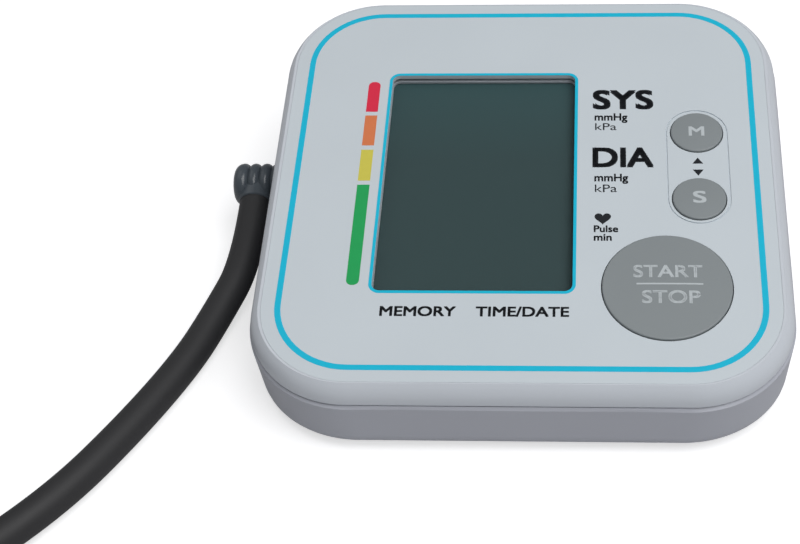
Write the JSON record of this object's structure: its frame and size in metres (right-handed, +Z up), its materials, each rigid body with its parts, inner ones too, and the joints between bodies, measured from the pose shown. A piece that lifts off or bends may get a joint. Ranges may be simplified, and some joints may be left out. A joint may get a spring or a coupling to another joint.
{
  "type": "upper arm blood pressure monitor",
  "caption": "Desk unit with a sloping top, display window, push buttons, sliding battery door and a pull-out air hose ending in a cuff connector.",
  "frame": {"origin": "centre of the monitor's footprint, on the table, without the hose and what is on it", "axes": "X to the user's right, Y to the high back edge, Z up"},
  "size_m": [0.2986, 0.2017, 0.0435],
  "materials": {
    "panel_plastic": "light grey moulded plastic, satin",
    "base_plastic": "light grey moulded plastic, satin",
    "button_plastic": "mid grey soft satin plastic",
    "lens": "clear glossy plastic",
    "lcd": "dark grey green display, glossy",
    "black_plastic": "dark grey glossy plastic",
    "hose_rubber": "dark grey soft tube, satin",
    "black_rubber": "black rubber",
    "soft_tube": "milky soft tube",
    "frame_plastic": "white inner plastic",
    "circuit_board": "green board",
    "dark_chip": "black moulded chip",
    "steel": "plated steel",
    "copper": "enamelled copper winding",
    "cell_sleeve": "dark plain sleeve",
    "dark_magnet": "dark sintered magnet"
  },
  "bodies": {
    "monitor": {"air_jack": "black_plastic", "air_manifold": "frame_plastic", "board_chips": "dark_chip", "board_screws": "steel", "buzzer": "dark_chip", "cell_1": "cell_sleeve", "cell_2": "cell_sleeve", "cell_3": "cell_sleeve", "cell_4": "cell_sleeve", "faceplate": "panel_plastic", "foot_1": "black_rubber", "foot_2": "black_rubber", "foot_3": "black_rubber", "foot_4": "black_rubber", "front_contacts": "steel", "front_strip": "black_rubber", "housing_screw_1": "steel", "housing_screw_2": "steel", "housing_screw_3": "steel", "housing_screw_4": "steel", "jack_tube": "soft_tube", "lcd_holder": "frame_plastic", "lcd_panel": "lcd", "lower_housing": "base_plastic", "main_board": "circuit_board", "memory_switch": "dark_chip", "motor_can": "steel", "motor_magnets": "dark_magnet", "pressure_sensor": "dark_chip", "pump_case": "black_plastic", "pump_cover": "black_plastic", "pump_cushion": "black_rubber", "pump_diaphragm": "black_rubber", "pump_tube": "soft_tube", "rear_contacts": "steel", "rear_strip": "black_rubber", "sensor_tube": "soft_tube", "set_switch": "dark_chip", "start_switch": "dark_chip", "upper_housing": "panel_plastic", "valve_cap": "black_plastic", "valve_coil": "copper", "valve_tube": "soft_tube", "valve_yoke": "steel", "window_lens": "lens"},
    "memory_button": {"memory_button": "button_plastic"},
    "set_button": {"set_button": "button_plastic"},
    "start_button": {"start_button": "button_plastic"},
    "battery_door": {"battery_door": "base_plastic"},
    "hose_assembly": {"hose_plug": "black_plastic", "plug_seal": "black_rubber", "hose": "hose_rubber", "hose_coil": "hose_rubber", "coil_tie": "black_rubber", "cuff_connector": "black_plastic"},
    "pump_rotor": {"pump_rotor": "steel"},
    "valve_plunger": {"valve_plunger": "steel"}
  },
  "joints": [
    {"name": "memory_button_press", "type": "slide", "parent": "monitor", "child": "memory_button", "axis": [0, 0.165, -0.9863], "range_m": [0, 0.0006], "stiffness_N_per_m": 1500, "springref_m": -0.0003},
    {"name": "set_button_press", "type": "slide", "parent": "monitor", "child": "set_button", "axis": [0, 0.165, -0.9863], "range_m": [0, 0.0006], "stiffness_N_per_m": 1500, "springref_m": -0.0003},
    {"name": "start_button_press", "type": "slide", "parent": "monitor", "child": "start_button", "axis": [0, 0.165, -0.9863], "range_m": [0, 0.0006], "stiffness_N_per_m": 2000, "springref_m": -0.0003},
    {"name": "battery_door_slide", "type": "slide", "parent": "monitor", "child": "battery_door", "axis": [0, 1, 0], "range_m": [0, 0.062]},
    {"name": "hose_plug_pull", "type": "slide", "parent": "monitor", "child": "hose_assembly", "axis": [-1, 0, 0], "range_m": [0, 0.013]},
    {"name": "pump_rotor_spin", "type": "hinge", "parent": "monitor", "child": "pump_rotor", "pos_m": [0.0369, 0.05, 0.017], "axis": [0, 1, 0], "continuous": true},
    {"name": "valve_plunger_slide", "type": "slide", "parent": "monitor", "child": "valve_plunger", "axis": [0, 1, 0], "range_m": [0, 0.0008], "stiffness_N_per_m": 300, "springref_m": -0.0003}
  ]
}
